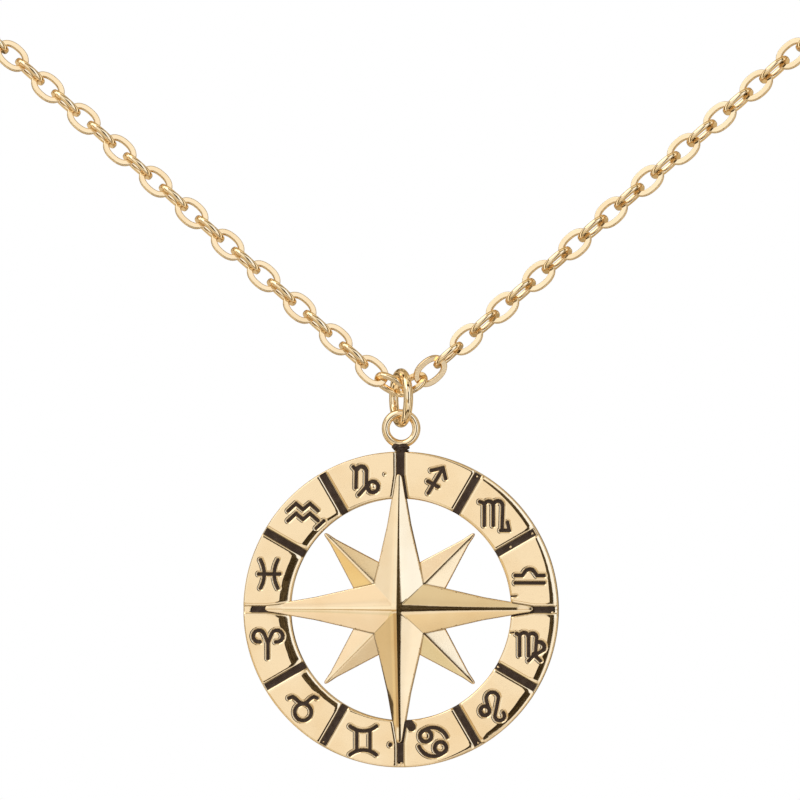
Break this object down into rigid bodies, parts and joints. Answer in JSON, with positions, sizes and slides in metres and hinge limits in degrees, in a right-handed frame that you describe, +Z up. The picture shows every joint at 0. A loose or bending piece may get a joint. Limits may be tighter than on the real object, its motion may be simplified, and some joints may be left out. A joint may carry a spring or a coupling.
{
  "type": "zodiac pendant necklace",
  "caption": "Gold-tone necklace with a round zodiac ring pendant, a raised compass star in its middle, a soldered loop, a jump ring and a flat cable chain.",
  "frame": {"origin": "nape of the neck, on the inner face of the clasp", "axes": "+Z up, +X to the viewer's right, -Y forward, out of the front of the pendant"},
  "size_m": [0.136, 0.1191, 0.1041],
  "materials": {
    "gold": "polished warm gold plate with fine scratches and casting grain",
    "black_enamel": "brown-black enamel with a faint sheen"
  },
  "bodies": {
    "chain": {"chain_left": "gold", "chain_right": "gold", "clasp": "gold"},
    "ring": {"jump_ring": "gold"},
    "pendant": {"compass_pendant": "gold", "black_enamel": "black_enamel"}
  },
  "joints": [
    {"name": "ring_swing", "type": "hinge", "parent": "chain", "child": "ring", "pos_m": [0, -0.11465, -0.06632], "axis": [0.9272, 0.3746, 0], "range_deg": [-60, 60]},
    {"name": "pendant_swing", "type": "hinge", "parent": "ring", "child": "pendant", "pos_m": [0, -0.11465, -0.06869], "axis": [-0.3746, 0.9272, 0], "range_deg": [-45, 45]}
  ]
}
